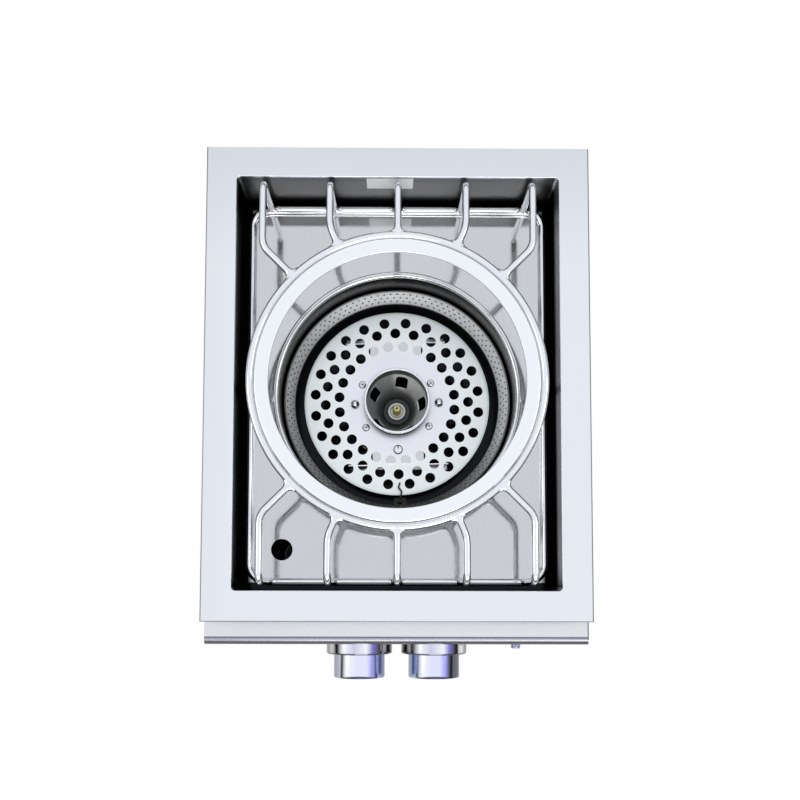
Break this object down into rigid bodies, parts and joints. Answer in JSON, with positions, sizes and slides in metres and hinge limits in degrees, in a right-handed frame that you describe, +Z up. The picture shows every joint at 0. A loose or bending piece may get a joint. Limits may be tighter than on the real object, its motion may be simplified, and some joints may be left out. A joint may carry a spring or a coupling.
{
  "type": "side burner",
  "caption": "Built-in stainless side burner: picture-frame trim, sunken round burner under a lift-off rod grate and wok ring, knobs and igniter button in front.",
  "frame": {"origin": "on the burner's upright axis, at the underside of the bottom plate", "axes": "+Z up along the burner's axis, -Y towards the knobs, +X to the right as the cook stands"},
  "size_m": [0.4, 0.5586, 0.25],
  "materials": {
    "trim_steel": "brushed along its length, softly shiny",
    "well_steel": "satin sheet",
    "pan_steel": "bright, nearly mirror-like sheet",
    "casing_steel": "plain galvanised or stainless sheet",
    "pipe_steel": "plain drawn tube",
    "bowl_steel": "spun sheet, softly shiny",
    "burner_steel": "pressed sheet, satin",
    "disc_steel": "flat satin sheet",
    "cup_steel": "spun, bright",
    "bracket_steel": "folded sheet",
    "screw_steel": "plain stainless fasteners",
    "electrode_steel": "bare wire",
    "grate_steel": "electropolished rod",
    "ring_steel": "flat polished plate",
    "knob_chrome": "bright plated metal",
    "light_ring": "frosted clear plastic light guide, lit violet",
    "black_plastic": "black moulding",
    "valve_aluminium": "die casting",
    "tube_aluminium": "drawn soft tube",
    "brass": "machined",
    "ceramic": "glazed white",
    "lead_rubber": "silicone sheath"
  },
  "bodies": {
    "burner_box": {"top_trim": "trim_steel", "well_liner": "well_steel", "floor_pan": "pan_steel", "left_side_panel": "casing_steel", "right_side_panel": "casing_steel", "rear_panel": "casing_steel", "front_panel": "casing_steel", "bottom_plate": "casing_steel", "casing_screws": "screw_steel", "control_panel": "trim_steel", "left_bezel": "knob_chrome", "right_bezel": "knob_chrome", "left_light_ring": "light_ring", "right_light_ring": "light_ring", "left_valve": "valve_aluminium", "right_valve": "valve_aluminium", "button_collar": "knob_chrome", "button_nut": "screw_steel", "igniter_module": "black_plastic", "manifold_pipe": "pipe_steel", "inlet_elbow": "pipe_steel", "supply_pipe": "pipe_steel", "gas_inlet": "brass", "inlet_nut": "brass", "center_feed_tube": "tube_aluminium", "ring_feed_tube": "tube_aluminium", "ring_orifice_block": "brass", "ring_orifice": "brass", "ring_venturi": "burner_steel", "burner_bowl": "bowl_steel", "ring_burner": "burner_steel", "front_disc_bracket": "bracket_steel", "rear_disc_bracket": "bracket_steel", "baffle_disc": "disc_steel", "center_cup": "cup_steel", "disc_screws": "screw_steel", "disc_nuts": "screw_steel", "dome_pins": "screw_steel", "locating_peg": "screw_steel", "orifice_holder": "brass", "orifice_socket": "brass", "center_orifice": "brass", "electrode_ceramic": "ceramic", "electrode_wire": "electrode_steel", "electrode_clip": "bracket_steel", "spark_lead": "lead_rubber"},
    "left_plug": {"left_valve_plug": "brass"},
    "right_plug": {"right_valve_plug": "brass"},
    "left_control": {"left_knob": "knob_chrome", "left_stem": "screw_steel"},
    "right_control": {"right_knob": "knob_chrome", "right_stem": "screw_steel"},
    "igniter_button": {"push_button": "knob_chrome"},
    "shutter": {"air_shutter": "burner_steel"},
    "grate": {"grate_frame": "grate_steel", "grate_ring": "grate_steel", "rear_fingers": "grate_steel", "front_fingers": "grate_steel", "side_posts": "grate_steel"},
    "wok_support": {"wok_ring": "ring_steel"}
  },
  "joints": [
    {"name": "left_knob_turn", "type": "hinge", "parent": "burner_box", "child": "left_plug", "pos_m": [-0.0405, -0.272, 0.165], "axis": [0, -1, 0], "range_deg": [0, 210]},
    {"name": "left_knob_push", "type": "slide", "parent": "left_plug", "child": "left_control", "axis": [0, 1, 0], "range_m": [0, 0.003], "stiffness_N_per_m": 1500, "springref_m": -0.002},
    {"name": "right_knob_turn", "type": "hinge", "parent": "burner_box", "child": "right_plug", "pos_m": [0.0405, -0.272, 0.165], "axis": [0, -1, 0], "range_deg": [0, 210]},
    {"name": "right_knob_push", "type": "slide", "parent": "right_plug", "child": "right_control", "axis": [0, 1, 0], "range_m": [0, 0.003], "stiffness_N_per_m": 1500, "springref_m": -0.002},
    {"name": "button_push", "type": "slide", "parent": "burner_box", "child": "igniter_button", "axis": [0, 1, 0], "range_m": [0, 0.003], "stiffness_N_per_m": 800, "springref_m": -0.001},
    {"name": "air_shutter_turn", "type": "hinge", "parent": "burner_box", "child": "shutter", "pos_m": [0, -0.2, 0.055], "axis": [0, 1, 0], "range_deg": [0, 60]},
    {"name": "grate_lift", "type": "slide", "parent": "burner_box", "child": "grate", "axis": [0, 0, 1], "range_m": [0, 0.12]},
    {"name": "wok_ring_lift", "type": "slide", "parent": "grate", "child": "wok_support", "axis": [0, 0, 1], "range_m": [0, 0.05]}
  ]
}
